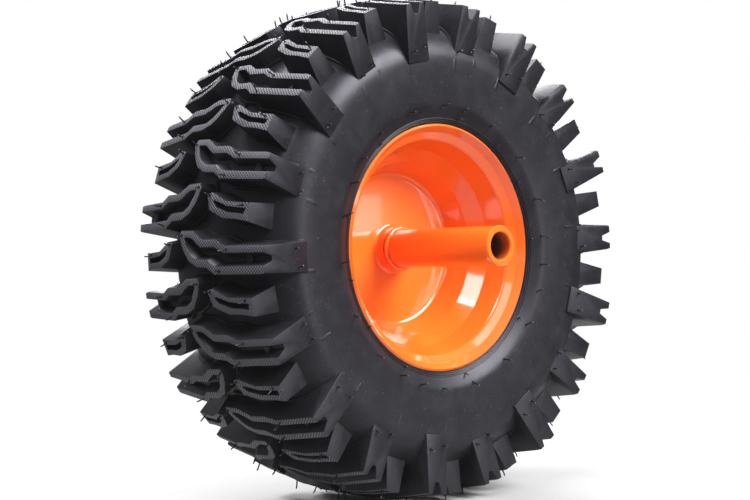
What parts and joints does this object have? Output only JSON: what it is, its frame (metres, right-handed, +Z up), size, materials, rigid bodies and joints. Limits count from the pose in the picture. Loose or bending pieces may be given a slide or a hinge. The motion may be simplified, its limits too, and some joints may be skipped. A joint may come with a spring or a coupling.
{
  "type": "snow blower wheel",
  "caption": "Pneumatic snow blower wheel: deep chevron-lug tyre on a welded two-half steel rim with an offset tubular hub and a hidden-side tyre valve.",
  "frame": {"origin": "centre of the wheel on the axle line, in the plane where the rim halves meet", "axes": "+Y along the axle away from the tube's long end, +Z up, X along the rolling direction"},
  "size_m": [0.3608, 0.1812, 0.3608],
  "materials": {
    "tyre_rubber": "satin",
    "orange_paint": "gloss",
    "bare_steel": "satin",
    "valve_rubber": "matte",
    "seal_rubber": "matte",
    "brass": "satin",
    "cap_plastic": "matte"
  },
  "bodies": {
    "wheel": {"tyre": "tyre_rubber", "inner_rim_half": "orange_paint", "outer_rim_half": "orange_paint", "hub_tube": "orange_paint", "inner_hub_weld": "orange_paint", "outer_hub_weld": "orange_paint", "rim_seam_weld": "bare_steel", "valve_stem": "valve_rubber", "valve_insert": "brass", "valve_core": "brass", "valve_core_gasket": "seal_rubber"},
    "valve_pin": {"valve_pin": "brass"},
    "valve_cap": {"valve_cap": "cap_plastic", "valve_cap_seal": "seal_rubber"}
  },
  "joints": [
    {"name": "valve_pin_push", "type": "slide", "parent": "wheel", "child": "valve_pin", "axis": [0, -0.5596, -0.8288], "range_m": [0, 0.0012], "stiffness_N_per_m": 2000},
    {"name": "valve_cap_off", "type": "slide", "parent": "wheel", "child": "valve_cap", "axis": [0, 0.5596, 0.8288], "range_m": [0, 0.011]}
  ]
}
